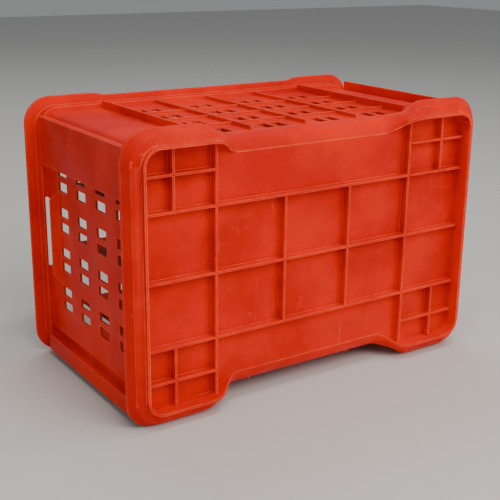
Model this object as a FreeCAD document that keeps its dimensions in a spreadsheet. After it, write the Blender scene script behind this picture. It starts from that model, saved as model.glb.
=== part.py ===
import FreeCAD, Part
import os
from math import cos, pi, radians, sin

import Sketcher

# Milk bottle crate, lying on one long side as it is stored and carried empty.
# +X runs along the crate's length, +Y from the closed base to the open mouth,
# and +Z up, across the crate's width. The origin is on the ground, under the
# middle of the crate. The crate is one shell of thin plastic plates, with a
# lift-out partition of interlocking strips that holds the bottles apart.

DIMENSIONS = {
    # whole crate
    "overall_length": 480, "overall_width": 320, "overall_height": 267,
    "plate": 3,
    # levels, measured from the front of the stacking foot towards the mouth
    "rib_level": 11, "panel_level": 20, "shell_level": 23,
    "seat_level": 250, "collar_level": 253, "flange_level": 263.5,
    # base: foot outline, ribs, flange and rolled edge
    "foot_half_length": 223, "foot_half_width": 144, "foot_radius": 20,
    "rib_thick": 2.8, "rib_reach": 219, "rib_pitch": 89, "row_pitch": 73.5, "cross_reach": 140.5,
    "brace_offset": 50.5, "brace_rise": 38.5,
    "outline_radius": 32, "cone_front": 5, "cone_middle": 8.5, "cone_back": 17, "cone_swell": 10,
    "flange_edge": 3, "flange_skin": 3.5,
    "shoulder_start": 152, "roll_radius": 18, "roll_half": 100,
    "bead_rise": 5, "bead_back": 18,
    # shell: outer faces of the walls, corner posts
    "wall_half_length": 219.5, "wall_half_width": 143, "wall_radius": 12,
    "post_end_leg": 29, "post_side_leg": 16,
    # grilles: pairs of upright holes in a square field
    "hole_tall": 24, "hole_wide": 11.6, "hole_gap": 18,
    "field_start": 52.5, "field_step": 49.8, "field_rise": 48.6,
    "grille_half": 120, "grip_level": 222,
    # hand-hold in each end wall
    "grip_half": 43, "grip_low": 226, "grip_lip": 7.5, "grip_lip_top": 2.5, "grip_ramp": 11, "grip_taper": 12,
    # smooth band and sill on each end wall
    "band_low": 84, "band_high": 140, "band_rise": 8.5,
    "sill_low": 131.5, "sill_foot": 151, "sill_rise": 9.5,
    # ribs on the long walls
    "bay": 72.7, "tall_rib": 9, "short_rib": 4.5, "cross_rib": 3,
    "wall_rib_start": 38,
    # mouth rim
    "collar_half_length": 227.5, "collar_half_width": 148.5, "collar_radius": 24.5,
    "rim_rail_half_length": 206, "rim_rail_half_width": 126,
    "dip": 3.5, "dip_half": 134, "dip_ramp": 22,
    # partition
    "strip": 2.4, "slot": 2.8, "cell_length": 73, "cell_width": 69.5,
    "strip_half_length": 214.5, "strip_half_width": 138,
    "strip_low": 38.5, "strip_high": 190,
}

COLUMNS = 6
ROWS = 4
FIELDS = 4
# a distance that reaches past the crate from any place in it
FAR = "400"
# how many corners of the flange's section lie on its outer side
OUTER_CORNERS = 6
# along a shoulder the flange first shrinks to a bead on the foot, then the foot sinks into the roll
TO_BEAD = (0, 0.08, 0.35, 0.72, 0.95, 1, 1, 1, 1)
TO_ROLL = (0, 0, 0.02, 0.09, 0.25, 0.5, 0.77, 0.94, 1)
# how much sooner the long walls stop, so that they meet the shoulders without crossing them
SEAM = 0.03
CORNERS = {"upper_left": (-1, 1), "upper_right": (1, 1),
           "lower_left": (-1, -1), "lower_right": (1, -1)}

doc = FreeCAD.newDocument("milk_bottle_crate")
sheet = doc.addObject("Spreadsheet::Sheet", "dims")
for row, (alias, value) in enumerate(DIMENSIONS.items(), start=1):
    sheet.set(f"A{row}", alias)
    sheet.set(f"B{row}", str(value))
    sheet.setAlias(f"B{row}", alias)
doc.recompute()

subparts = []


def dim(name):
    """The expression for one driving dimension."""
    return f"dims.{name}"


def level(text):
    """The Y of a level that is measured from the front of the foot."""
    return f"({text} - dims.overall_height / 2)"


def height(text):
    """The Z of a place that is measured from the crate's middle."""
    return f"(dims.overall_width / 2 + {text})"


def value_of(text):
    """The number that an expression gives now."""
    return float(sheet.evalExpression(text))


def bind(feature, prop, text):
    feature.setExpression(prop, text)


def keep(feature, label):
    """Name a finished sub-part."""
    feature.Label = label
    subparts.append(feature)
    return feature


def box(name, x_span, y_span, z_span):
    """A block between two places along each axis."""
    block = doc.addObject("Part::Box", name)
    spans = (("Length", "x", x_span), ("Width", "y", y_span), ("Height", "z", z_span))
    for side, axis, (low, high) in spans:
        bind(block, side, f"({high}) - ({low})")
        bind(block, f"Placement.Base.{axis}", low)
    return block


def round_bar(name, x, z, radius, y_span):
    """A cylinder along Y."""
    bar = doc.addObject("Part::Cylinder", name)
    turn = FreeCAD.Rotation(FreeCAD.Vector(1, 0, 0), -90)
    bar.Placement = FreeCAD.Placement(FreeCAD.Vector(), turn)
    bind(bar, "Radius", radius)
    bind(bar, "Height", f"({y_span[1]}) - ({y_span[0]})")
    bind(bar, "Placement.Base.x", x)
    bind(bar, "Placement.Base.y", y_span[0])
    bind(bar, "Placement.Base.z", z)
    return bar


def fuse(name, shapes):
    joined = doc.addObject("Part::MultiFuse", name)
    joined.Shapes = shapes
    joined.Refine = True
    return joined


def cut(name, base, tool):
    result = doc.addObject("Part::Cut", name)
    result.Base = base
    result.Tool = tool
    result.Refine = True
    return result


def group(name, shapes):
    """Separate solids that touch, kept as one sub-part."""
    bundle = doc.addObject("Part::Compound", name)
    bundle.Links = shapes
    return bundle


def mirrored(name, source, normal):
    """The mirror image across a plane through the crate's middle."""
    image = doc.addObject("Part::Mirroring", name)
    image.Source = source
    image.Normal = normal
    bind(image, "Base.z", "dims.overall_width / 2")
    return image


def common(name, base, tool):
    result = doc.addObject("Part::Common", name)
    result.Base = base
    result.Tool = tool
    result.Refine = True
    return result


def centred_box(name, half_x, y_span, half_z):
    """A block that is centred on the crate's axis."""
    z_span = (height(f"-({half_z})"), height(half_z))
    return box(name, (f"-({half_x})", f"({half_x})"), y_span, z_span)


def rounded_block(name, half_x, half_z, radius, y_span):
    """A block along Y with its four long edges rounded."""
    pieces = [centred_box(name + "_wide", half_x, y_span, f"({half_z} - {radius})"),
              centred_box(name + "_tall", f"({half_x} - {radius})", y_span, half_z)]
    for corner, (side, rise) in CORNERS.items():
        x = f"{side} * ({half_x} - {radius})"
        z = height(f"{rise} * ({half_z} - {radius})")
        pieces.append(round_bar(f"{name}_{corner}", x, z, radius, y_span))
    return fuse(name, pieces)


def new_body(name):
    return doc.addObject("PartDesign::Body", name)


def sketch_on(body, name, role, offset):
    """A sketch on one of the body's own origin planes, moved along the plane's normal."""
    sketch = body.newObject("Sketcher::SketchObject", name)
    plane = next(item for item in body.Origin.OriginFeatures if item.Role == role)
    sketch.AttachmentSupport = (plane, [""])
    sketch.MapMode = "FlatFace"
    bind(sketch, "AttachmentOffset.Base.z", offset)
    return sketch


def pin_point(sketch, line, x, y):
    """Fix the start of a line at a place given by two expressions."""
    for kind, text in (("DistanceX", x), ("DistanceY", y)):
        index = sketch.addConstraint(Sketcher.Constraint(kind, -1, 1, line, 1, value_of(text)))
        name = f"{kind}_{line}"
        sketch.renameConstraint(index, name)
        bind(sketch, f"Constraints.{name}", text)


def draw_polygon(sketch, points):
    """A closed outline through corners that are pairs of expressions."""
    corners = [FreeCAD.Vector(value_of(x), value_of(y), 0) for x, y in points]
    count = len(corners)
    for index in range(count):
        sketch.addGeometry(Part.LineSegment(corners[index], corners[(index + 1) % count]))
    for index in range(count):
        sketch.addConstraint(Sketcher.Constraint("Coincident", index, 2, (index + 1) % count, 1))
    for index, (x, y) in enumerate(points):
        pin_point(sketch, index, x, y)


def draw_rounded_rectangle(sketch, half_x, half_y, radius, middle_y):
    """A rectangle with rounded corners, centred on X = 0 and on middle_y."""
    right, top, bend = value_of(half_x), value_of(half_y), value_of(radius)
    middle = value_of(middle_y)
    inner_x, inner_y = right - bend, top - bend
    start = sketch.GeometryCount
    sides = [((right, -inner_y), (right, inner_y)), ((inner_x, top), (-inner_x, top)),
             ((-right, inner_y), (-right, -inner_y)), ((-inner_x, -top), (inner_x, -top))]
    centres = [(inner_x, inner_y), (-inner_x, inner_y), (-inner_x, -inner_y), (inner_x, -inner_y)]
    for turn, (ends, centre) in enumerate(zip(sides, centres)):
        first, last = [FreeCAD.Vector(x, y + middle, 0) for x, y in ends]
        sketch.addGeometry(Part.LineSegment(first, last))
        pivot = FreeCAD.Vector(centre[0], centre[1] + middle, 0)
        circle = Part.Circle(pivot, FreeCAD.Vector(0, 0, 1), bend)
        sketch.addGeometry(Part.ArcOfCircle(circle, turn * pi / 2, (turn + 1) * pi / 2))
    for turn in range(4):
        line, arc = start + 2 * turn, start + 2 * turn + 1
        following = start + (2 * turn + 2) % 8
        sketch.addConstraint(Sketcher.Constraint("Tangent", line, 2, arc, 1))
        sketch.addConstraint(Sketcher.Constraint("Tangent", arc, 2, following, 1))
        sketch.addConstraint(Sketcher.Constraint("Vertical" if turn % 2 == 0 else "Horizontal", line))
    for turn in range(1, 4):
        sketch.addConstraint(Sketcher.Constraint("Equal", start + 1, start + 2 * turn + 1))
    limits = [("Radius", (start + 1,), radius),
              ("DistanceX", (-1, 1, start, 1), half_x),
              ("DistanceX", (start + 4, 1, -1, 1), half_x),
              ("DistanceY", (-1, 1, start + 2, 1), f"{middle_y} + {half_y}"),
              ("DistanceY", (-1, 1, start + 6, 1), f"{middle_y} - {half_y}")]
    for number, (kind, terms, text) in enumerate(limits):
        index = sketch.addConstraint(Sketcher.Constraint(kind, *terms, value_of(text)))
        name = f"limit_{start}_{number}"
        sketch.renameConstraint(index, name)
        bind(sketch, f"Constraints.{name}", text)


def outline_sketch(body, name, half_x, half_z, radius, y):
    """A rounded rectangle across the crate at one place along Y."""
    sketch = sketch_on(body, name, "XZ_Plane", f"-({y})")
    draw_rounded_rectangle(sketch, half_x, half_z, radius, "dims.overall_width / 2")
    return sketch


def pad_along_y(body, name, sketch, length):
    pad = body.newObject("PartDesign::Pad", name)
    pad.Profile = sketch
    pad.Reversed = True
    bind(pad, "Length", length)
    return pad


def section_body(name, points, y_span):
    """A bar along Y with a many-sided section in the XZ plane."""
    body = new_body(name)
    sketch = sketch_on(body, name + "_section", "XZ_Plane", f"-({y_span[0]})")
    draw_polygon(sketch, points)
    pad_along_y(body, name + "_bar", sketch, f"{y_span[1]} - {y_span[0]}")
    return body


def upright_body(name, points, z_span):
    """A bar along Z with a many-sided section in the XY plane."""
    body = new_body(name)
    sketch = sketch_on(body, name + "_section", "XY_Plane", z_span[0])
    draw_polygon(sketch, points)
    pad = body.newObject("PartDesign::Pad", name + "_bar")
    pad.Profile = sketch
    bind(pad, "Length", f"({z_span[1]}) - ({z_span[0]})")
    return body


def blended(first, last, share):
    """A value part of the way from one expression to another."""
    return f"({1 - share:.3f} * ({first}) + {share:.3f} * ({last}))"


def shoulder_place(step):
    """Where one section of a shoulder stands along the crate."""
    return blended("dims.shoulder_start", "dims.roll_half", step / (len(TO_ROLL) - 1))


def both_ways(points):
    """An outline that is given for positive X only, completed by its mirror image."""
    return points + [(f"-({x})", y) for x, y in reversed(points)]


# --- base ---------------------------------------------------------------

def make_base_panel(shoulders):
    """The closed floor, cut back where the edges roll over."""
    body = new_body("base_panel_body")
    outline = outline_sketch(body, "base_outline", dim("foot_half_length"), dim("foot_half_width"),
                             dim("foot_radius"), level(dim("panel_level")))
    pad_along_y(body, "base_plate", outline, dim("plate"))
    y_span = (level("dims.panel_level - 1"), level("dims.shell_level + 1"))
    foot = "dims.foot_half_width - dims.plate"
    roll = "dims.wall_half_width - dims.roll_radius"
    notches = []
    for edge, sign in (("upper", 1), ("lower", -1)):
        points = [("dims.shoulder_start", height(f"{sign} * dims.overall_width"))]
        for step, share in enumerate(TO_ROLL):
            points.append((shoulder_place(step), height(f"{sign} * {blended(foot, roll, share)}")))
        notches.append(section_body(f"panel_notch_{edge}", both_ways(points), y_span))
    keep(cut("base_panel_cut", body, fuse("panel_notches", notches + [shoulders])), "base_panel")


def make_base_ribs(shoulders):
    y_span = (level(dim("rib_level")), level(dim("panel_level")))
    half = "dims.rib_thick / 2"
    for name, row in (("upper", 1), ("middle", 0), ("lower", -1)):
        z_span = (height(f"{row} * dims.row_pitch - {half}"), height(f"{row} * dims.row_pitch + {half}"))
        rib = box(f"base_rib_{name}_block", ("-dims.rib_reach", "dims.rib_reach"), y_span, z_span)
        keep(rib, f"base_rib_{name}")
    make_cross_ribs(y_span, half, shoulders)
    for corner, (side, rise) in CORNERS.items():
        make_corner_brace(corner, side, rise, y_span)


def make_cross_ribs(y_span, half, shoulders):
    """Short ribs between the long ones; the outer pairs also reach the foot."""
    places = {"left_outer": (-1.5, (-2, -1, 0, 1)), "left_inner": (-0.5, (-1, 0)),
              "right_inner": (0.5, (-1, 0)), "right_outer": (1.5, (-2, -1, 0, 1))}
    for name, (column, rows) in places.items():
        x_span = (f"{column} * dims.rib_pitch - {half}", f"{column} * dims.rib_pitch + {half}")
        blocks = []
        for row in rows:
            low = f"{row} * dims.row_pitch + {half}" if row > -2 else "-dims.cross_reach"
            high = f"{row + 1} * dims.row_pitch - {half}" if row < 1 else "dims.cross_reach"
            z_span = (height(f"({low})"), height(f"({high})"))
            block = box(f"cross_rib_{name}_{row + 2}", x_span, y_span, z_span)
            if len(rows) == ROWS and row in (-2, 1):
                block = cut(f"cross_rib_end_{name}_{row + 2}", block, shoulders)
            blocks.append(block)
        keep(group(f"cross_ribs_{name}", blocks), f"base_cross_ribs_{name}")


def make_corner_brace(corner, side, rise, y_span):
    """The small cross that stiffens one corner cell."""
    half = "dims.rib_thick / 2"
    inner_x, outer_x = f"1.5 * dims.rib_pitch + {half}", "dims.rib_reach"
    inner_z, outer_z = f"dims.row_pitch + {half}", "dims.foot_half_width - dims.plate - 1"
    middle_x = "1.5 * dims.rib_pitch + dims.brace_offset"
    middle_z = "dims.row_pitch + dims.brace_rise"

    def ordered(low, high, sign):
        ends = (f"{sign} * ({low})", f"{sign} * ({high})")
        return ends if sign > 0 else ends[::-1]

    def rise_span(low, high):
        first, last = ordered(low, high, rise)
        return (height(first), height(last))

    upright = box(f"brace_upright_{corner}", ordered(f"{middle_x} - {half}", f"{middle_x} + {half}", side),
                  y_span, rise_span(inner_z, outer_z))
    level_bar = box(f"brace_level_{corner}", ordered(inner_x, outer_x, side), y_span,
                    rise_span(f"{middle_z} - {half}", f"{middle_z} + {half}"))
    keep(fuse(f"brace_{corner}", [upright, level_bar]), f"corner_brace_{corner}")


def make_foot():
    """The stacking foot: a thin rim in front of the base, open at the notches."""
    y_span = (level("0"), level(dim("panel_level")))
    foot = (dim("foot_half_length"), dim("foot_half_width"), dim("foot_radius"))
    bore = [f"({text} - dims.plate)" for text in foot]
    outer = rounded_block("foot_outer", *foot, y_span)
    inner = rounded_block("foot_inner", *bore, (level("-1"), level("dims.panel_level + 1")))
    ring = cut("foot_ring", outer, inner)
    ends = {"left": (f"-{FAR}", "-dims.shoulder_start"), "right": ("dims.shoulder_start", FAR)}
    for end, x_span in ends.items():
        half = box(f"foot_{end}_zone", x_span, (level(f"-{FAR}"), level(FAR)), (f"-{FAR}", FAR))
        keep(common(f"foot_{end}_part", ring, half), f"stacking_foot_{end}")


def make_base_flange():
    """The swelling flange round the foot, in three pieces at each end."""
    body = new_body("flange_body")
    foot = (dim("foot_half_length"), dim("foot_half_width"), dim("foot_radius"))
    edge = ("dims.overall_length / 2", "dims.overall_width / 2", dim("outline_radius"))
    middle = [f"({text} + dims.cone_swell)" for text in foot]
    inner_middle = [f"({text} - dims.flange_skin)" for text in middle]
    inner_edge = [f"({text} - dims.flange_skin)" for text in edge]
    front = outline_sketch(body, "flange_front", *foot, level(dim("cone_front")))
    swell = outline_sketch(body, "flange_swell", *middle, level(dim("cone_middle")))
    back = outline_sketch(body, "flange_back", *edge, level(dim("cone_back")))
    cone = body.newObject("PartDesign::AdditiveLoft", "flange_cone")
    cone.Profile = front
    cone.Sections = [swell, back]
    cone.Ruled = True
    rim = outline_sketch(body, "flange_rim", *edge, level(dim("cone_back")))
    pad_along_y(body, "flange_rim_pad", rim, dim("flange_edge"))
    skin = "dims.flange_skin"
    hollow_front = outline_sketch(body, "hollow_front", *foot, level(f"dims.cone_front + {skin}"))
    hollow_swell = outline_sketch(body, "hollow_swell", *inner_middle, level(f"dims.cone_middle + {skin}"))
    hollow_back = outline_sketch(body, "hollow_back", *inner_edge, level("dims.cone_back + dims.flange_edge"))
    hollow = body.newObject("PartDesign::SubtractiveLoft", "flange_hollow")
    hollow.Profile = hollow_front
    hollow.Sections = [hollow_swell, hollow_back]
    hollow.Ruled = True
    bore = rounded_block("flange_bore", *foot, (level("0"), level(FAR)))
    ring = cut("flange_ring", body, bore)
    y_span = (level(f"-{FAR}"), level(FAR))
    post = "dims.overall_width / 2 - dims.outline_radius"
    for end, side in (("left", -1), ("right", 1)):
        x_span = (f"-{FAR}", "-dims.shoulder_start") if side < 0 else ("dims.shoulder_start", FAR)
        zones = {"end": (height(f"-({post})"), height(f"({post})")),
                 "upper": (height(f"({post})"), height(FAR)),
                 "lower": (height(f"-{FAR}"), height(f"-({post})"))}
        for zone, z_span in zones.items():
            region = box(f"flange_zone_{end}_{zone}", x_span, y_span, z_span)
            name = f"base_flange_{end}" if zone == "end" else f"base_flange_{zone}_{end}"
            keep(common(f"flange_{end}_{zone}", ring, region), name)


def flange_section():
    """The foot wall and flange cut across, as pairs of level and distance from the axis."""
    foot, edge, skin = "dims.foot_half_width", "dims.overall_width / 2", "dims.flange_skin"
    back = "dims.cone_back + dims.flange_edge"
    return [("0", f"{foot} - dims.plate"), ("0", foot), (dim("cone_front"), foot),
            (dim("cone_middle"), f"{foot} + dims.cone_swell"), (dim("cone_back"), edge), (back, edge),
            (back, f"{edge} - {skin}"), (f"dims.cone_middle + {skin}", f"{foot} + dims.cone_swell - {skin}"),
            (f"dims.cone_front + {skin}", foot), (dim("panel_level"), foot),
            (dim("panel_level"), f"{foot} - dims.plate")]


def bead_section():
    """The foot wall with only a bead left of its flange."""
    foot, rise, back = "dims.foot_half_width", "dims.bead_rise", "dims.bead_back"
    skin = "dims.flange_skin"
    return [("0", f"{foot} - dims.plate"), ("0", foot), (f"{back} / 6", f"{foot} + 0.4 * {rise}"),
            (f"{back} * 0.4", f"{foot} + 0.8 * {rise}"), (f"{back} * 0.75", f"{foot} + {rise}"),
            (back, f"{foot} + {rise}"), (back, f"{foot} + {rise} - {skin}"),
            (f"{back} * 0.7", f"{foot} + {rise} - {skin}"), (f"{back} / 2", foot), (dim("panel_level"), foot),
            (dim("panel_level"), f"{foot} - dims.plate")]


def with_midpoints(section):
    """The same outline with one more point halfway along each of its outer edges."""
    points = []
    for first, second in zip(section[:OUTER_CORNERS - 1], section[1:OUTER_CORNERS]):
        points += [first, tuple(f"(({low}) + ({high})) / 2" for low, high in zip(first, second))]
    return points + section[OUTER_CORNERS - 1:]


def roll_section():
    """The rolled edge cut across, with as many corners as the flange's section and its midpoints."""
    pivot_level = "dims.panel_level + dims.roll_radius"
    pivot_rise = "dims.wall_half_width - dims.roll_radius"
    points = []
    for radius, angles in (("dims.roll_radius", range(0, 91, 9)),
                           ("(dims.roll_radius - dims.plate)", (90, 67.5, 45, 22.5, 0))):
        for angle in angles:
            along, across = round(cos(radians(angle)), 5), round(sin(radians(angle)), 5)
            points.append((f"{pivot_level} - {along} * {radius}", f"{pivot_rise} + {across} * {radius}"))
    return points


def make_shoulders():
    """At each end of a rolled edge the foot and its flange sink into the roll."""
    body = new_body("shoulder_body")
    sections = []
    for step, (bead_share, roll_share) in enumerate(zip(TO_BEAD, TO_ROLL)):
        sketch = sketch_on(body, f"shoulder_section_{step}", "YZ_Plane", shoulder_place(step))
        corners = []
        outlines = (with_midpoints(flange_section()), with_midpoints(bead_section()), roll_section())
        for flange, bead, roll in zip(*outlines):
            back, rise = [blended(blended(flange[axis], bead[axis], bead_share), roll[axis], roll_share)
                          for axis in (0, 1)]
            corners.append((level(back), height(rise)))
        draw_polygon(sketch, corners)
        sections.append(sketch)
    loft = body.newObject("PartDesign::AdditiveLoft", "shoulder_loft")
    loft.Profile = sections[0]
    loft.Sections = sections[1:]
    across, up = FreeCAD.Vector(1, 0, 0), FreeCAD.Vector(0, 0, 1)
    upper_left = mirrored("shoulder_upper_left", body, across)
    return [keep(body, "notch_shoulder_upper_right"),
            keep(upper_left, "notch_shoulder_upper_left"),
            keep(mirrored("shoulder_lower_right", body, up), "notch_shoulder_lower_right"),
            keep(mirrored("shoulder_lower_left", upper_left, up), "notch_shoulder_lower_left")]


def make_rolled_edges():
    """Where the foot stops, the base rolls over into the long wall."""
    for name, sign in (("upper", 1), ("lower", -1)):
        body = new_body(f"rolled_edge_{name}_body")
        sketch = sketch_on(body, f"roll_outline_{name}", "YZ_Plane", "-dims.roll_half")
        draw_polygon(sketch, [(level(back), height(f"{sign} * ({rise})")) for back, rise in roll_section()])
        pad = body.newObject("PartDesign::Pad", f"roll_pad_{name}")
        pad.Profile = sketch
        bind(pad, "Length", "2 * dims.roll_half")
        keep(body, f"rolled_edge_{name}")


# --- shell --------------------------------------------------------------

def make_long_walls():
    """The two long walls, with pairs of holes in the four middle bays."""
    reach = "dims.wall_half_length - dims.post_side_leg"
    for name, sign in (("upper", 1), ("lower", -1)):
        inner, outer = f"{sign} * (dims.wall_half_width - dims.plate)", f"{sign} * dims.wall_half_width"
        low, high = (inner, outer) if sign > 0 else (outer, inner)
        z_span = (height(low), height(high))
        plate = box(f"long_wall_plate_{name}", (f"-({reach})", f"({reach})"),
                    (level(dim("shell_level")), level(dim("seat_level"))), z_span)
        deep = (height(f"({low} - 2)"), height(f"({high} + 2)"))
        edge = [("dims.shoulder_start", level("0"))]
        for step, share in enumerate(TO_ROLL):
            reach_back = f"dims.panel_level + {min(1, share + SEAM)} * dims.roll_radius"
            edge.append((shoulder_place(step), level(reach_back)))
        cutters = [upright_body(f"long_wall_roll_{name}", both_ways(edge), deep)]
        for column in range(FIELDS):
            for pair, shift in enumerate((-1, 1)):
                middle = f"({column - 1.5} * dims.bay + {shift} * dims.hole_gap / 2)"
                x_span = (f"{middle} - dims.hole_wide / 2", f"{middle} + dims.hole_wide / 2")
                for row in range(FIELDS):
                    hole = f"long_hole_{name}_{column}_{pair}_{row}"
                    cutters.append(box(hole, x_span, hole_span(row), deep))
        openings = fuse(f"long_holes_{name}", cutters)
        keep(cut(f"long_wall_{name}_cut", plate, openings), f"long_wall_{name}")
        make_wall_ribs(name, sign)


def hole_span(row):
    """Where one row of holes lies between the base and the mouth."""
    middle = f"(dims.field_start + {row} * dims.field_step)"
    return (level(f"({middle} - dims.hole_tall / 2)"), level(f"({middle} + dims.hole_tall / 2)"))


def make_wall_ribs(name, sign):
    """Ribs over the partition's lines, joined by lower cross ribs."""
    def rise_span(rise):
        near, far = f"{sign} * dims.wall_half_width", f"{sign} * (dims.wall_half_width + {rise})"
        low, high = (near, far) if sign > 0 else (far, near)
        return (height(low), height(high))

    y_span = (level(dim("wall_rib_start")), level(dim("seat_level")))
    blocks = []
    for column in range(-2, 3):
        rise = "dims.tall_rib" if abs(column) == 2 else "dims.short_rib"
        x_span = (f"{column} * dims.bay - dims.plate / 2", f"{column} * dims.bay + dims.plate / 2")
        blocks.append(box(f"wall_rib_{name}_{column + 2}", x_span, y_span, rise_span(rise)))
    for row in range(FIELDS - 1):
        middle = f"(dims.field_start + {row + 0.5} * dims.field_step)"
        span = (level(f"({middle} - dims.plate / 2)"), level(f"({middle} + dims.plate / 2)"))
        for column in range(-2, 2):
            x_span = (f"{column} * dims.bay + dims.plate / 2", f"{column + 1} * dims.bay - dims.plate / 2")
            blocks.append(box(f"wall_cross_rib_{name}_{row}_{column + 2}", x_span, span,
                              rise_span("dims.cross_rib")))
    keep(group(f"wall_ribs_{name}_lattice", blocks), f"long_wall_ribs_{name}")


def make_corner_posts():
    """An angle of shell at each corner, with a rounded outer edge."""
    y_span = (level(dim("shell_level")), level(dim("seat_level")))
    wall = (dim("wall_half_length"), dim("wall_half_width"), dim("wall_radius"))
    outer = rounded_block("post_outer", *wall, y_span)
    bore = [f"({text} - dims.plate)" for text in wall]
    inner = rounded_block("post_inner", *bore, (level("0"), level(FAR)))
    tube = cut("post_tube", outer, inner)
    for corner, (side, rise) in CORNERS.items():
        edge_x = f"{side} * (dims.wall_half_length - dims.post_side_leg)"
        edge_z = f"{rise} * (dims.wall_half_width - dims.post_end_leg)"
        x_span = (edge_x, FAR) if side > 0 else (f"-{FAR}", edge_x)
        z_span = (height(edge_z), height(FAR)) if rise > 0 else (height(f"-{FAR}"), height(edge_z))
        zone = box(f"post_zone_{corner}", x_span, y_span, z_span)
        keep(common(f"post_{corner}", tube, zone), f"corner_post_{corner}")


def make_end_walls():
    """Each end wall: grille, hand-hold plate, grip lip, smooth band and sill."""
    for end, side in (("left", -1), ("right", 1)):
        near, far = f"{side} * dims.wall_half_length", f"{side} * (dims.wall_half_length + dims.plate)"
        x_span = (near, far) if side > 0 else (far, near)
        deep = (f"({x_span[0]} - 3)", f"({x_span[1]} + 3)")
        z_span = (height("-dims.grille_half"), height("dims.grille_half"))
        y_span = (level(dim("shell_level")), level(dim("grip_level")))
        grille = box(f"grille_plate_{end}", x_span, y_span, z_span)
        holes = []
        for column in range(FIELDS):
            for pair, shift in enumerate((-1, 1)):
                middle = f"({column - 1.5} * dims.field_rise + {shift} * dims.hole_gap / 2)"
                hole_z = (height(f"({middle} - dims.hole_wide / 2)"),
                          height(f"({middle} + dims.hole_wide / 2)"))
                for row in range(FIELDS):
                    holes.append(box(f"end_hole_{end}_{column}_{pair}_{row}", deep, hole_span(row), hole_z))
        keep(cut(f"grille_{end}_cut", grille, fuse(f"end_holes_{end}", holes)), f"end_grille_{end}")
        make_hand_hold(end, side, x_span, deep, z_span)
        make_band_and_sill(end, side)


def make_hand_hold(end, side, x_span, deep, z_span):
    """A slot that runs on into the rim, behind a raised lip that ramps up on three sides."""
    plate = box(f"grip_plate_{end}", x_span, (level(dim("grip_level")), level(dim("seat_level"))), z_span)
    slot = box(f"grip_slot_{end}", deep, (level(dim("grip_low")), level("dims.seat_level + 1")),
               (height("-dims.grip_half"), height("dims.grip_half")))
    keep(cut(f"grip_{end}_cut", plate, slot), f"hand_hold_plate_{end}")
    wall = "dims.wall_half_length + dims.plate"
    start = "dims.grip_low - dims.grip_ramp"
    section = [(wall, start), (f"{wall} + dims.grip_lip", "dims.grip_low - dims.grip_lip_top"),
               (f"{wall} + dims.grip_lip", "dims.grip_low"), (wall, "dims.grip_low")]
    points = [(f"{side} * ({x})", level(text)) for x, text in section]
    half = "dims.grip_half + dims.grip_lip_top"
    foot = f"{half} + dims.grip_taper"
    z_lip = (height(f"-({foot})"), height(foot))
    ramp = upright_body(f"grip_ramp_{end}_body", points, z_lip)
    outline = [(wall, foot), (f"{wall} + dims.grip_lip", half),
               (f"{wall} + dims.grip_lip", f"-({half})"), (wall, f"-({foot})")]
    points = [(f"{side} * ({x})", height(z)) for x, z in outline]
    taper = section_body(f"grip_taper_{end}_body", points, (level(start), level("dims.grip_low")))
    keep(common(f"grip_lip_{end}_part", ramp, taper), f"grip_lip_{end}")


def make_band_and_sill(end, side):
    """The band is a shallow channel and the sill an angle; the far end has them swapped."""
    y_span = (level(dim("shell_level")), level(dim("seat_level")))
    flip = -side
    wall = "dims.wall_half_length"
    grille = f"{wall} + dims.plate"
    crown = f"{wall} + dims.band_rise"
    inner = f"{crown} - dims.plate"
    low, high = dim("band_low"), dim("band_high")
    band = [(crown, low), (crown, high), (wall, high), (wall, f"{high} - dims.plate"),
            (inner, f"{high} - dims.plate"), (inner, f"{low} + dims.plate"), (grille, f"{low} + dims.plate"),
            (grille, low)]
    ledge = f"{wall} + dims.sill_rise"
    top, bottom = f"-{dim('sill_low')}", f"-{dim('sill_foot')}"
    sill = [(wall, top), (ledge, top), (ledge, bottom), (f"{ledge} - dims.plate", bottom),
            (f"{ledge} - dims.plate", f"{top} - dims.plate"), (wall, f"{top} - dims.plate")]
    for name, section in (("end_band", band), ("end_sill", sill)):
        points = [(f"{side} * ({x})", height(f"{flip} * ({z})")) for x, z in section]
        keep(section_body(f"{name}_{end}_body", points, y_span), f"{name}_{end}")


# --- mouth --------------------------------------------------------------

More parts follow.
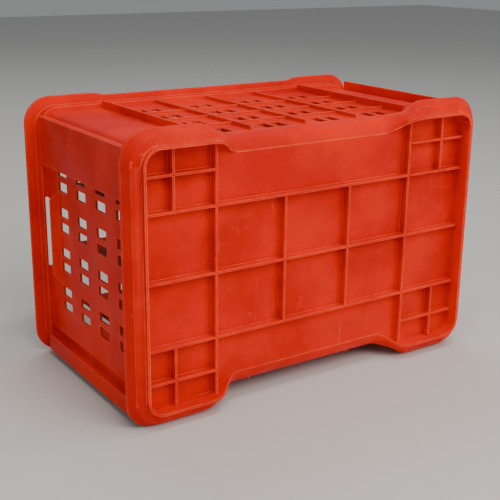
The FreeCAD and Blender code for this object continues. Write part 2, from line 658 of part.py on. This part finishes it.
def make_mouth_rim():
    """Seat, collar and flange round the mouth, cut into four rails and four corners.

    The seat is missing behind each hand-hold.
    """
    collar = (dim("collar_half_length"), dim("collar_half_width"), dim("collar_radius"))
    bore = [f"({text} - dims.plate)" for text in collar]
    edge = ("dims.overall_length / 2", "dims.overall_width / 2", dim("outline_radius"))
    throat = ("(dims.wall_half_length - dims.plate)", "(dims.wall_half_width - dims.plate)",
              "(dims.wall_radius - dims.plate)")
    top = level(dim("overall_height"))
    body = fuse("rim_solid", [
        rounded_block("rim_collar", *collar, (level(dim("seat_level")), top)),
        rounded_block("rim_flange", *edge, (level(dim("flange_level")), top))])
    hollow = fuse("rim_hollow", [
        rounded_block("rim_bore", *bore, (level(dim("collar_level")), level(FAR))),
        rounded_block("rim_throat", *throat, (level("0"), level(FAR)))])
    y_span = (level("0"), level(FAR))
    dips = []
    for edge, sign in (("upper", 1), ("lower", -1)):
        shape = (("dims.dip_half + dims.dip_ramp", "dims.overall_width"),
                 ("dims.dip_half + dims.dip_ramp", "dims.overall_width / 2"),
                 ("dims.dip_half + 0.6 * dims.dip_ramp", "dims.overall_width / 2 - 0.25 * dims.dip"),
                 ("dims.dip_half + 0.3 * dims.dip_ramp", "dims.overall_width / 2 - 0.75 * dims.dip"),
                 ("dims.dip_half", "dims.overall_width / 2 - dims.dip"))
        points = [(x, height(f"{sign} * ({rise})")) for x, rise in shape]
        dips.append(section_body(f"rim_dip_{edge}", both_ways(points), y_span))
    gap_x = ("(dims.wall_half_length - dims.plate - 1)", "(dims.collar_half_length - dims.plate)")
    gap_y = (level("dims.seat_level - 1"), level("dims.collar_level + 1"))
    gap_z = (height("-dims.grip_half"), height("dims.grip_half"))
    gaps = [box("rim_gap_left", (f"-{gap_x[1]}", f"-{gap_x[0]}"), gap_y, gap_z),
            box("rim_gap_right", gap_x, gap_y, gap_z)]
    ring = cut("rim_ring", cut("rim_open", body, hollow), fuse("rim_notches", dips + gaps))
    spans_x = {"left": (f"-{FAR}", "-dims.rim_rail_half_length"), "right": ("dims.rim_rail_half_length", FAR)}
    spans_z = {"upper": (height("dims.rim_rail_half_width"), height(FAR)),
               "lower": (height(f"-{FAR}"), height("-dims.rim_rail_half_width"))}
    middle_x = ("-dims.rim_rail_half_length", "dims.rim_rail_half_length")
    middle_z = (height("-dims.rim_rail_half_width"), height("dims.rim_rail_half_width"))
    zones = {f"mouth_rail_{name}": (middle_x, span) for name, span in spans_z.items()}
    zones.update({f"mouth_rail_{name}": (span, middle_z) for name, span in spans_x.items()})
    for row, z_span in spans_z.items():
        zones.update({f"mouth_corner_{row}_{name}": (x_span, z_span) for name, x_span in spans_x.items()})
    for name, (x_span, z_span) in zones.items():
        keep(common(f"{name}_part", ring, box(f"{name}_zone", x_span, y_span, z_span)), name)


# --- partition ----------------------------------------------------------

def make_partition():
    """Interlocking strips: long ones are slotted from the mouth, cross ones from the base."""
    middle = "(dims.strip_low + dims.strip_high) / 2"
    full = (level(dim("strip_low")), level(dim("strip_high")))
    mouth_half = (level(middle), level("dims.strip_high + 1"))
    base_half = (level("dims.strip_low - 1"), level(middle))
    columns = range(1 - COLUMNS // 2, COLUMNS // 2)
    rows = range(1 - ROWS // 2, ROWS // 2)

    def span(place, pitch, width):
        centre = f"{place} * dims.{pitch}"
        return (f"({centre} - dims.{width} / 2)", f"({centre} + dims.{width} / 2)")

    for number, row in enumerate(rows, start=1):
        low, high = span(row, "cell_width", "strip")
        z_span = (height(low), height(high))
        wide = (height(f"({low} - 1)"), height(f"({high} + 1)"))
        x_span = ("-dims.strip_half_length", "dims.strip_half_length")
        strip = box(f"long_strip_{number}", x_span, full, z_span)
        slots = []
        for place in columns:
            slot_x = span(place, "cell_length", "slot")
            slots.append(box(f"long_slot_{number}_{place + COLUMNS}", slot_x, mouth_half, wide))
        slotted = cut(f"long_divider_{number}_cut", strip, fuse(f"long_slots_{number}", slots))
        keep(slotted, f"long_divider_{number}")
    for number, column in enumerate(columns, start=1):
        x_span = span(column, "cell_length", "strip")
        wide = (f"({x_span[0]} - 1)", f"({x_span[1]} + 1)")
        strip = box(f"cross_strip_{number}", x_span, full,
                    (height("-dims.strip_half_width"), height("dims.strip_half_width")))
        slots = []
        for row in rows:
            low, high = span(row, "cell_width", "slot")
            slot_z = (height(low), height(high))
            slots.append(box(f"cross_slot_{number}_{row + ROWS}", wide, base_half, slot_z))
        slotted = cut(f"cross_divider_{number}_cut", strip, fuse(f"cross_slots_{number}", slots))
        keep(slotted, f"cross_divider_{number}")


def check_and_write():
    doc.recompute()
    for item in doc.Objects:
        if "Invalid" in item.State or "Error" in item.State:
            raise RuntimeError(f"{item.Name} failed: {item.State}")
    os.makedirs("parts", exist_ok=True)
    for item in subparts:
        shape = item.Shape
        if shape.isNull() or not shape.isValid() or not shape.Solids:
            raise RuntimeError(f"{item.Label} has no valid solid")
        shape.exportStep(f"parts/{item.Label}.step")
        box_size = shape.BoundBox
        print(f"{item.Label:32s} solids {len(shape.Solids)} volume {shape.Volume / 1000:8.2f} cm3"
              f"  x {box_size.XMin:7.1f} {box_size.XMax:7.1f}  y {box_size.YMin:7.1f} {box_size.YMax:7.1f}"
              f"  z {box_size.ZMin:7.1f} {box_size.ZMax:7.1f}")


shoulders = fuse("shoulders", make_shoulders())
make_base_panel(shoulders)
make_base_ribs(shoulders)
make_foot()
make_base_flange()
make_rolled_edges()
make_long_walls()
make_corner_posts()
make_end_walls()
make_mouth_rim()
make_partition()
check_and_write()
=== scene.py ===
from math import cos, radians, sin

import bmesh
import bpy
from mathutils import Matrix, Vector


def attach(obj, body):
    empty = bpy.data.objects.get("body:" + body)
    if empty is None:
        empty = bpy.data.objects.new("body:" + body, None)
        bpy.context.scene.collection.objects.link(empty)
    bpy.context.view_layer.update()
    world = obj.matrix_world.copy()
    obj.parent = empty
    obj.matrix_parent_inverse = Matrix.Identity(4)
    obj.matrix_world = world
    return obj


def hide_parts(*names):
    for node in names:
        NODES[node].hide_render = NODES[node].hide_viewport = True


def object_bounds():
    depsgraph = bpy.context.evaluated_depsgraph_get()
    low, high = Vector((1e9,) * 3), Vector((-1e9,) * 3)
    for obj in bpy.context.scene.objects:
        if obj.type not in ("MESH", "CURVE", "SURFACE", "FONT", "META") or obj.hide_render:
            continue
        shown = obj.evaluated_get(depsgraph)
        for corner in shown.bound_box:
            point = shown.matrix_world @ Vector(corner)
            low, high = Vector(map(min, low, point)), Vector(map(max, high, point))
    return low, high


# The looks of a red plastic milk bottle crate, lying on its long side.
# Every moulded piece is grown from the CAD nodes it stands for: they are joined
# where the real moulding is one skin, then their edges are rounded.

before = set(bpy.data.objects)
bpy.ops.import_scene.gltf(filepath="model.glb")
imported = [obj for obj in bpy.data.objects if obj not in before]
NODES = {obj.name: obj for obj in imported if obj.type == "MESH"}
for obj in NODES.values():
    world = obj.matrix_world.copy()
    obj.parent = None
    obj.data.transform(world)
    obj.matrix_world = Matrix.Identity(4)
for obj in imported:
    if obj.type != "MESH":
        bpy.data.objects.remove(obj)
CAD_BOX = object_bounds()
MM = 0.001


# --- mesh helpers -------------------------------------------------------

WELD_DISTANCE = 0.02 * MM
ROUNDING_SEGMENTS = 2
ROUNDED_ANGLE = radians(28)     # edges that turn by more than this are rounded
AREA_WEIGHT = 100               # how far the larger faces decide the shading


def weld(piece):
    """Merge the vertices that lie on each other."""
    mesh = bmesh.new()
    mesh.from_mesh(piece.data)
    bmesh.ops.remove_doubles(mesh, verts=mesh.verts, dist=WELD_DISTANCE)
    mesh.to_mesh(piece.data)
    mesh.free()


def copy_of_node(name, node):
    """A welded copy of a CAD node's mesh, as an object of its own with no material."""
    piece = bpy.data.objects.new(name, NODES[node].data.copy())
    bpy.context.scene.collection.objects.link(piece)
    piece.data.materials.clear()
    weld(piece)
    return piece


def apply_modifiers(piece):
    """Bake a piece's modifiers into its mesh."""
    graph = bpy.context.evaluated_depsgraph_get()
    graph.update()
    baked = bpy.data.meshes.new_from_object(piece.evaluated_get(graph))
    piece.modifiers.clear()
    old = piece.data
    piece.data = baked
    bpy.data.meshes.remove(old)


def unite(whole, part):
    """Join a part's solid to the whole's, and drop the part."""
    union = whole.modifiers.new("union", "BOOLEAN")
    union.operation = "UNION"
    union.solver = "EXACT"
    union.object = part
    apply_modifiers(whole)
    bpy.data.objects.remove(part)


def union_of_nodes(name, nodes):
    """One object that is the union of some CAD nodes."""
    whole = copy_of_node(name, nodes[0])
    for node in nodes[1:]:
        unite(whole, copy_of_node(f"{name}.part", node))
    weld(whole)
    return whole


def round_edges(piece, width):
    """Round the sharp edges, and shade the facets of the curved faces smoothly."""
    bevel = piece.modifiers.new("rounding", "BEVEL")
    bevel.width = width
    bevel.segments = ROUNDING_SEGMENTS
    bevel.limit_method = "ANGLE"
    bevel.angle_limit = ROUNDED_ANGLE
    bevel.harden_normals = True
    bevel.miter_outer = "MITER_ARC"
    bevel.use_clamp_overlap = True
    for face in piece.data.polygons:
        face.use_smooth = True
    shading = piece.modifiers.new("shading", "WEIGHTED_NORMAL")
    shading.mode = "FACE_AREA"
    shading.weight = AREA_WEIGHT
    shading.keep_sharp = True


# --- pieces -------------------------------------------------------------

# Each piece of the crate: how the names of its nodes start, and how wide its rounded edges are.
CRATE_PIECES = {
    "moulded_base": (("base_panel", "base_rib", "base_cross", "corner_brace"), 0.8 * MM),
    "moulded_ring": (("stacking_foot", "base_flange", "notch_shoulder", "rolled_edge"), 1.0 * MM),
    "moulded_mouth_rim": (("mouth_",), 1.1 * MM),
    "moulded_shell": (("long_wall", "corner_post", "end_", "hand_hold", "grip_lip"), 0.8 * MM),
}
STRIP_ROUNDING = 0.6 * MM


def moulding(name, nodes, body, width):
    """One moulded piece that stands for some CAD nodes, with edges rounded to a width."""
    piece = union_of_nodes(name, nodes)
    round_edges(piece, width)
    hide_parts(*nodes)
    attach(piece, body)
    return piece


def make_crate():
    """The crate's own moulding: base, ring round the base, mouth rim and shell."""
    pieces = []
    for name, (starts, width) in CRATE_PIECES.items():
        nodes = [node for node in NODES if node.startswith(starts)]
        pieces.append(moulding(name, nodes, "crate", width))
    return pieces


def make_partition():
    """The loose strips that part the bottles, one piece each."""
    pieces = []
    for node in NODES:
        if "divider" in node:
            strip = moulding(f"strip_{node}", [node], "partition", STRIP_ROUNDING)
            pieces.append(strip)
    return pieces


# --- material nodes -----------------------------------------------------

MASK_SAMPLES = 4


def link(tree, source, target):
    """Feed a socket from another socket, or set it to a plain value."""
    if isinstance(source, bpy.types.NodeSocket):
        tree.links.new(source, target)
    else:
        target.default_value = source


def noise(tree, place, scale, detail, roughness=0.55, stretch=None):
    """Noise in the piece's own coordinates; scale, times any stretch, is in cycles per metre."""
    if stretch:
        mapping = tree.nodes.new("ShaderNodeMapping")
        mapping.inputs["Scale"].default_value = stretch
        tree.links.new(place, mapping.inputs["Vector"])
        place = mapping.outputs["Vector"]
    texture = tree.nodes.new("ShaderNodeTexNoise")
    texture.inputs["Scale"].default_value = scale
    texture.inputs["Detail"].default_value = detail
    texture.inputs["Roughness"].default_value = roughness
    tree.links.new(place, texture.inputs["Vector"])
    return texture.outputs["Fac"]


def remap(tree, value, low, high, to_low=0.0, to_high=1.0):
    """Ease a value from the range between low and high into another range."""
    ranged = tree.nodes.new("ShaderNodeMapRange")
    ranged.interpolation_type = "SMOOTHSTEP"
    for socket, number in (("From Min", low), ("From Max", high), ("To Min", to_low), ("To Max", to_high)):
        ranged.inputs[socket].default_value = number
    tree.links.new(value, ranged.inputs["Value"])
    return ranged.outputs["Result"]


def combine(tree, operation, first, second):
    """Put two values through a maths operation; each is a socket or a number."""
    node = tree.nodes.new("ShaderNodeMath")
    node.operation = operation
    link(tree, first, node.inputs[0])
    link(tree, second, node.inputs[1])
    return node.outputs["Value"]


def blend(tree, share, first, second):
    """Mix two colours; each is a socket or an RGB triple."""
    node = tree.nodes.new("ShaderNodeMix")
    node.data_type = "RGBA"
    sockets = [item for item in node.inputs if item.type == "RGBA"]
    link(tree, share, node.inputs["Factor"])
    for colour, socket in zip((first, second), sockets):
        link(tree, (*colour, 1) if isinstance(colour, tuple) else colour, socket)
    return next(item for item in node.outputs if item.type == "RGBA")


def edge_mask(tree, reach):
    """One along the edges within reach, nought on flat faces; low and high are cosines of a turn."""
    rounded = tree.nodes.new("ShaderNodeBevel")
    rounded.samples = MASK_SAMPLES
    rounded.inputs["Radius"].default_value = reach
    actual = tree.nodes.new("ShaderNodeNewGeometry")
    likeness = tree.nodes.new("ShaderNodeVectorMath")
    likeness.operation = "DOT_PRODUCT"
    tree.links.new(rounded.outputs["Normal"], likeness.inputs[0])
    tree.links.new(actual.outputs["Normal"], likeness.inputs[1])
    return remap(tree, likeness.outputs["Value"], low=0.995, high=0.90)


def painted_shade_mask(tree, reach):
    """Painted shade: one deep in corners and hollows, nought in the open; low and high say how open a place
    is.
    """
    shade = tree.nodes.new("ShaderNodeAmbientOcclusion")
    shade.samples = MASK_SAMPLES
    shade.only_local = True
    shade.inputs["Distance"].default_value = reach
    return remap(tree, shade.outputs["AO"], low=0.75, high=0.2)


# --- weathered plastic, with painted shade and highlight ----------------

SPECULAR_LEVEL = 0.12
SPECULAR_TINT = (1.0, 0.45, 0.25, 1)

# Cycles per metre along X, Y and Z: each kind of scratch runs along one axis.
SCRATCH_STRETCHES = ((5, 160, 170), (150, 6, 140), (150, 160, 7))
SCRATCH_DEPTH = 0.05 * MM
SINK_MARK_DEPTH = 0.9 * MM
# The painted shade reaches this far into the hollows.
PAINTED_SHADE_REACH = 14 * MM
# The painted highlight, with some wear, reaches this far from the edges.
EDGE_HIGHLIGHT_REACH = 2.2 * MM

# How far a full mask takes the colour to its tone.
# painted shade in the hollows
PAINTED_SHADE_SHARE = 0.38
SCUFF_SHARE = 0.4
# painted highlight, with some wear, along the edges
EDGE_HIGHLIGHT_SHARE = 0.8

SCUFF_ROUGHNESS = 0.7
WORN_ROUGHNESS = 0.62
SMOOTHER = 0.06     # the most that unevenness takes off the roughness
ROUGHER = 0.10      # and the most that it adds

# In both tables, the tone for the hollows is painted shade, and the tone for the edges is a painted
# highlight with some wear.
CRATE_TONES = {
    "deep": (0.64, 0.0080, 0.0060),
    "main": (0.82, 0.0155, 0.0050),
    "faded": (0.85, 0.033, 0.010),
    "painted_shade": (0.27, 0.003, 0.004),
    "scuff": (0.86, 0.11, 0.055),
    "edge_highlight_and_wear": (0.97, 0.145, 0.055),
}
PARTITION_TONES = {
    "deep": (0.46, 0.010, 0.0060),
    "main": (0.60, 0.018, 0.0080),
    "faded": (0.66, 0.055, 0.030),
    "painted_shade": (0.22, 0.006, 0.005),
    "scuff": (0.70, 0.16, 0.10),
    "edge_highlight_and_wear": (0.74, 0.12, 0.060),
}


def scuff_mask(tree, place):
    """Fine scratches along the three axes, in patches."""
    scuffs = None
    for stretch in SCRATCH_STRETCHES:
        streaks = noise(tree, place, scale=1, detail=3, roughness=0.6, stretch=stretch)
        scratches = remap(tree, streaks, low=0.665, high=0.72)
        scuffs = scratches if scuffs is None else combine(tree, "MAXIMUM", scuffs, scratches)
    patches = remap(tree, noise(tree, place, scale=17, detail=3), low=0.48, high=0.62)
    return combine(tree, "MULTIPLY", scuffs, patches)


def edge_highlight_and_wear_mask(tree, place):
    """Painted highlight and wear along the edges, stronger in some places than in others."""
    rubs = noise(tree, place, scale=70, detail=4, roughness=0.7)
    rubbed = remap(tree, rubs, low=0.34, high=0.62, to_low=0.3, to_high=1)
    return combine(tree, "MULTIPLY", edge_mask(tree, EDGE_HIGHLIGHT_REACH), rubbed)


def weathered_colour_with_painted_light(tree, place, tones, scuffs, edge_highlight_and_wear):
    """Mottled and faded colour with pale scuffs, painted shade in the hollows, and a painted highlight with
    some wear along the edges.
    """
    mottled = remap(tree, noise(tree, place, scale=11, detail=4), low=0.36, high=0.66)
    colour = blend(tree, mottled, tones["deep"], tones["main"])
    bleaching = noise(tree, place, scale=38, detail=7, roughness=0.68)
    faded = remap(tree, bleaching, low=0.52, high=0.76, to_low=0, to_high=0.45)
    colour = blend(tree, faded, colour, tones["faded"])
    # painted shade: the colour is darkened in corners and hollows, where shade falls
    painted_shade = combine(tree, "MULTIPLY", painted_shade_mask(tree, PAINTED_SHADE_REACH), PAINTED_SHADE_SHARE)
    colour = blend(tree, painted_shade, colour, tones["painted_shade"])
    colour = blend(tree, combine(tree, "MULTIPLY", scuffs, SCUFF_SHARE), colour, tones["scuff"])
    # painted highlight, with some wear: the colour is paled along the edges
    return blend(tree, combine(tree, "MULTIPLY", edge_highlight_and_wear, EDGE_HIGHLIGHT_SHARE), colour, tones["edge_highlight_and_wear"])


def weathered_roughness(tree, place, roughness, scuffs, edge_highlight_and_wear):
    """Uneven roughness that is higher on scuffs and worn edges."""
    patches = noise(tree, place, scale=26, detail=5)
    least = roughness - SMOOTHER
    most = roughness + ROUGHER
    uneven = remap(tree, patches, low=0.3, high=0.7, to_low=least, to_high=most)
    scuffed = combine(tree, "MULTIPLY", scuffs, SCUFF_ROUGHNESS)
    rubbed = combine(tree, "MULTIPLY", edge_highlight_and_wear, WORN_ROUGHNESS)
    return combine(tree, "MAXIMUM", uneven, combine(tree, "MAXIMUM", scuffed, rubbed))


def moulded_relief(tree, place, grain, scuffs):
    """A bumped normal: fine grain, shallow sink marks, and the scratches cut into them."""
    fine = combine(tree, "MULTIPLY", noise(tree, place, scale=2600, detail=2), grain)
    sink_marks = combine(tree, "MULTIPLY", noise(tree, place, scale=20, detail=2), SINK_MARK_DEPTH)
    scratches = combine(tree, "MULTIPLY", scuffs, SCRATCH_DEPTH)
    relief = combine(tree, "SUBTRACT", combine(tree, "ADD", fine, sink_marks), scratches)
    bump = tree.nodes.new("ShaderNodeBump")
    bump.inputs["Strength"].default_value = 1.0
    bump.inputs["Distance"].default_value = 1.0
    tree.links.new(relief, bump.inputs["Height"])
    return bump.outputs["Normal"]


def moulded_plastic(name, tones, roughness, grain):
    """Moulded polyethylene that has seen years of use, with painted shade in its hollows and a painted
    highlight along its edges; grain is the depth of its texture.
    """
    material = bpy.data.materials.new(name)
    material.use_nodes = True
    tree = material.node_tree
    shader = tree.nodes["Principled BSDF"]
    shader.inputs["Specular IOR Level"].default_value = SPECULAR_LEVEL
    shader.inputs["Specular Tint"].default_value = SPECULAR_TINT
    place = tree.nodes.new("ShaderNodeTexCoord").outputs["Object"]
    scuffs = scuff_mask(tree, place)
    edge_highlight_and_wear = edge_highlight_and_wear_mask(tree, place)
    tree.links.new(weathered_colour_with_painted_light(tree, place, tones, scuffs, edge_highlight_and_wear), shader.inputs["Base Color"])
    tree.links.new(weathered_roughness(tree, place, roughness, scuffs, edge_highlight_and_wear), shader.inputs["Roughness"])
    tree.links.new(moulded_relief(tree, place, grain, scuffs), shader.inputs["Normal"])
    return material


def dress(pieces, material):
    """Give some pieces one material."""
    for piece in pieces:
        piece.data.materials.clear()
        piece.data.materials.append(material)


# --- stage --------------------------------------------------------------

FOCAL_LENGTH = 68.65    # millimetres on the sensor
SENSOR_WIDTH = 36
CAMERA_PLACE = (-0.6378, -0.9321, 0.4859)
CAMERA_YAW = radians(34.009)
CAMERA_PITCH = radians(17.463)
CAMERA_ROLL = radians(0.631)

FLOOR_SIZE = 12
FLOOR_COLOUR = (0.62, 0.62, 0.60, 1)
FLOOR_ROUGHNESS = 0.8
STUDIO_COLOUR = (0.75, 0.77, 0.78, 1)
STUDIO_STRENGTH = 0.34
LIGHT_TARGET = Vector((0, 0, (CAD_BOX[0][2] + CAD_BOX[1][2]) / 2))


def make_camera():
    """A camera that looks down at the base and the left end of the crate."""
    data = bpy.data.cameras.new("camera")
    data.lens = FOCAL_LENGTH
    data.sensor_width = SENSOR_WIDTH
    camera = bpy.data.objects.new("camera", data)
    bpy.context.scene.collection.objects.link(camera)
    level = cos(CAMERA_PITCH)
    forward = Vector((sin(CAMERA_YAW) * level, cos(CAMERA_YAW) * level, -sin(CAMERA_PITCH)))
    right = Vector((cos(CAMERA_YAW), -sin(CAMERA_YAW), 0))
    up = right.cross(forward)
    tilted_right = cos(CAMERA_ROLL) * right + sin(CAMERA_ROLL) * up
    tilted_up = cos(CAMERA_ROLL) * up - sin(CAMERA_ROLL) * right
    turn = Matrix((tilted_right, tilted_up, -forward)).transposed().to_4x4()
    camera.matrix_world = Matrix.Translation(CAMERA_PLACE) @ turn
    bpy.context.scene.camera = camera


def make_floor():
    """A pale matt floor under the crate."""
    bpy.ops.mesh.primitive_plane_add(size=FLOOR_SIZE, location=(0, 0, 0))
    floor = bpy.context.object
    floor.name = "floor"
    material = bpy.data.materials.new("pale_floor")
    material.use_nodes = True
    shader = material.node_tree.nodes["Principled BSDF"]
    shader.inputs["Base Color"].default_value = FLOOR_COLOUR
    shader.inputs["Roughness"].default_value = FLOOR_ROUGHNESS
    floor.data.materials.append(material)


def make_studio():
    """Even light from all round."""
    world = bpy.data.worlds.new("studio")
    world.use_nodes = True
    background = world.node_tree.nodes["Background"]
    background.inputs["Color"].default_value = STUDIO_COLOUR
    background.inputs["Strength"].default_value = STUDIO_STRENGTH
    bpy.context.scene.world = world


def make_light(name, place, size, power, colour):
    """A soft rectangular light that points at the crate's middle height."""
    data = bpy.data.lights.new(name, "AREA")
    data.shape = "RECTANGLE"
    data.size, data.size_y = size
    data.energy = power
    data.color = colour
    lamp = bpy.data.objects.new(name, data)
    bpy.context.scene.collection.objects.link(lamp)
    lamp.location = place
    aim = LIGHT_TARGET - Vector(place)
    lamp.rotation_euler = aim.to_track_quat("-Z", "Y").to_euler()


def make_lights():
    """The studio's lights: places and sizes in metres, power in watts."""
    make_light("key", place=(-0.05, -1.95, 2.0), size=(1.8, 1.4), power=38, colour=(1.0, 0.98, 0.95))
    make_light("fill", place=(1.4, -2.0, 0.9), size=(1.4, 1.2), power=17, colour=(1.0, 0.99, 0.97))
    make_light("side", place=(-2.4, -0.6, 1.0), size=(2.0, 1.4), power=8, colour=(1.0, 0.95, 0.90))
    make_light("strip", place=(0.05, -0.42, 1.7), size=(1.8, 0.22), power=10, colour=(1.0, 0.94, 0.84))
    make_light("back", place=(0.5, 1.6, 2.6), size=(2.0, 1.2), power=20, colour=(1.0, 0.97, 0.92))


make_camera()
make_floor()
make_studio()
make_lights()
dress(make_crate(), moulded_plastic("crate_red", CRATE_TONES, roughness=0.40, grain=0.010 * MM))
dress(make_partition(), moulded_plastic("partition_red", PARTITION_TONES, roughness=0.55, grain=0.022 * MM))
